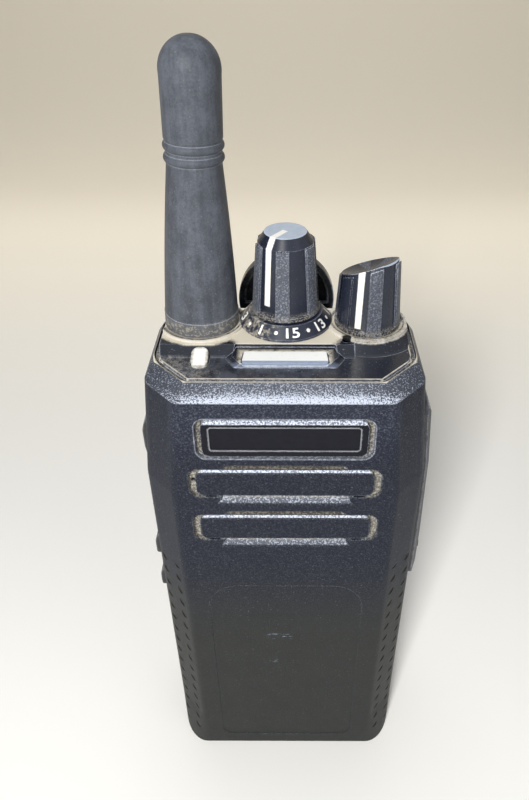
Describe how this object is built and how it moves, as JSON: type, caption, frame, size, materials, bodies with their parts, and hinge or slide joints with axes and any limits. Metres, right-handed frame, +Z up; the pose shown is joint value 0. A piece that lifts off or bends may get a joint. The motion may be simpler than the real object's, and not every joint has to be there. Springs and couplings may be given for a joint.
{
  "type": "handheld two-way radio",
  "caption": "Handheld two-way radio with stub antenna, channel and volume knobs, side talk switch, grille, belt clip and slim back battery.",
  "frame": {"origin": "centre of the front casing's flat base, on the surface it stands on", "axes": "+Z up towards the antenna, -Y out of the speaker grille, +X towards the connector cover, so the talk switch is on -X"},
  "size_m": [0.0587, 0.0412, 0.1667],
  "materials": {
    "casing_plastic": "fine spark-grain black plastic",
    "gloss_panel": "polished black plastic",
    "name_black": "polished black plastic",
    "frame_silver": "bright line",
    "lens_white": "milky white light guide",
    "key_white": "pale grey translucent key",
    "key_rubber": "matt black rubber",
    "knob_rubber": "satin black rubber",
    "pointer_white": "white inlay",
    "antenna_rubber": "satin dark grey rubber",
    "chassis_metal": "black painted die casting",
    "steel": "plated steel",
    "blackened_steel": "blackened steel",
    "brass": "nickel over brass",
    "board_green": "glass laminate with green coating",
    "component_black": "moulded black plastic",
    "felt": "black felt",
    "cone_paper": "treated paper cone",
    "magnet_iron": "plated magnet cup",
    "contact_gold": "gold plated contact",
    "cell_blue": "shrink-wrapped cell",
    "clip_black": "polished black plastic",
    "pack_plastic": "fine-grained black plastic"
  },
  "bodies": {
    "radio": {"front_casing": "casing_plastic", "rear_chassis": "chassis_metal", "chassis_screws": "steel", "top_panel": "gloss_panel", "dial_ring": "gloss_panel", "name_bar": "name_black", "name_bar_frame": "frame_silver", "status_lens": "lens_white", "status_led": "component_black", "aux_switch": "component_black", "side_switches": "component_black", "channel_switch": "component_black", "channel_switch_nut": "brass", "volume_control": "component_black", "antenna_socket": "brass", "main_board": "board_green", "shield_can": "steel", "control_board": "board_green", "jack_block": "component_black", "radio_terminals": "component_black", "radio_contacts": "contact_gold", "latch_spring": "steel", "latch_spring_keeper": "steel", "clip_bracket": "blackened_steel", "clip_screws": "steel", "clip_pin": "steel", "clip_spring": "steel", "speaker_felt": "felt", "speaker_frame": "steel", "speaker_cone": "cone_paper", "speaker_magnet": "magnet_iron", "microphone_capsule": "steel", "microphone_boot": "key_rubber"},
    "channel_dial": {"channel_knob": "knob_rubber", "channel_pointer": "pointer_white", "channel_shaft": "steel"},
    "volume_dial": {"volume_knob": "knob_rubber", "volume_pointer": "pointer_white", "volume_shaft": "steel"},
    "antenna": {"antenna_sheath": "antenna_rubber", "antenna_coil": "brass", "antenna_stud": "brass"},
    "talk_switch": {"ptt_button": "key_rubber"},
    "upper_side_key": {"side_key_upper": "key_rubber"},
    "lower_side_key": {"side_key_lower": "key_rubber"},
    "auxiliary_key": {"aux_key": "key_white"},
    "belt_clip": {"clip_lever": "clip_black"},
    "battery_pack": {"battery_case": "pack_plastic", "battery_lid": "pack_plastic", "battery_cells": "cell_blue", "battery_contacts": "contact_gold"},
    "latch": {"release_latch": "component_black"},
    "catch": {"safety_catch": "key_rubber"},
    "cover": {"jack_cover": "key_rubber"},
    "cover_screw": {"jack_cover_screw": "blackened_steel"}
  },
  "joints": [
    {"name": "channel_turn", "type": "hinge", "parent": "radio", "child": "channel_dial", "pos_m": [0, 0.0072, 0.1194], "axis": [0, 0, 1], "range_deg": [-337.5, 0]},
    {"name": "volume_turn", "type": "hinge", "parent": "radio", "child": "volume_dial", "pos_m": [0.0158, 0.006, 0.1169], "axis": [0, 0, 1], "range_deg": [-300, 0]},
    {"name": "antenna_turn", "type": "hinge", "parent": "radio", "child": "antenna", "pos_m": [-0.01635, 0.0064, 0.1169], "axis": [0, 0, 1], "continuous": true},
    {"name": "ptt_press", "type": "slide", "parent": "radio", "child": "talk_switch", "axis": [1, 0, 0], "range_m": [0, 0.0008], "stiffness_N_per_m": 2000, "springref_m": -0.0006},
    {"name": "upper_key_press", "type": "slide", "parent": "radio", "child": "upper_side_key", "axis": [1, 0, 0], "range_m": [0, 0.0006], "stiffness_N_per_m": 1500, "springref_m": -0.0005},
    {"name": "lower_key_press", "type": "slide", "parent": "radio", "child": "lower_side_key", "axis": [1, 0, 0], "range_m": [0, 0.0006], "stiffness_N_per_m": 1500, "springref_m": -0.0005},
    {"name": "auxiliary_press", "type": "slide", "parent": "radio", "child": "auxiliary_key", "axis": [0, 0, -1], "range_m": [0, 0.0005], "stiffness_N_per_m": 1500, "springref_m": -0.0005},
    {"name": "clip_open", "type": "hinge", "parent": "radio", "child": "belt_clip", "pos_m": [0, 0.0196, 0.1075], "axis": [1, 0, 0], "range_deg": [0, 12], "stiffness_Nm_per_rad": 0.6, "springref_deg": -11.46},
    {"name": "battery_swing", "type": "hinge", "parent": "radio", "child": "battery_pack", "pos_m": [0, 0.012, 0.0926], "axis": [1, 0, 0], "range_deg": [0, 1.5]},
    {"name": "latch_press", "type": "slide", "parent": "radio", "child": "latch", "axis": [0, 0, 1], "range_m": [0, 0.002], "stiffness_N_per_m": 300, "springref_m": -0.003, "deforming": ["latch_spring"]},
    {"name": "catch_slide", "type": "slide", "parent": "radio", "child": "catch", "axis": [1, 0, 0], "range_m": [0, 0.007]},
    {"name": "cover_slide", "type": "slide", "parent": "radio", "child": "cover", "axis": [1, 0, 0], "range_m": [0, 0.03]},
    {"name": "cover_screw_turn", "type": "hinge", "parent": "cover", "child": "cover_screw", "pos_m": [0.02935, -0.0031, 0.066], "axis": [1, 0, 0], "continuous": true}
  ],
  "couplings": [
    {"joint": "latch_press", "follows": "battery_swing", "m_per_rad": 0.0763}
  ]
}
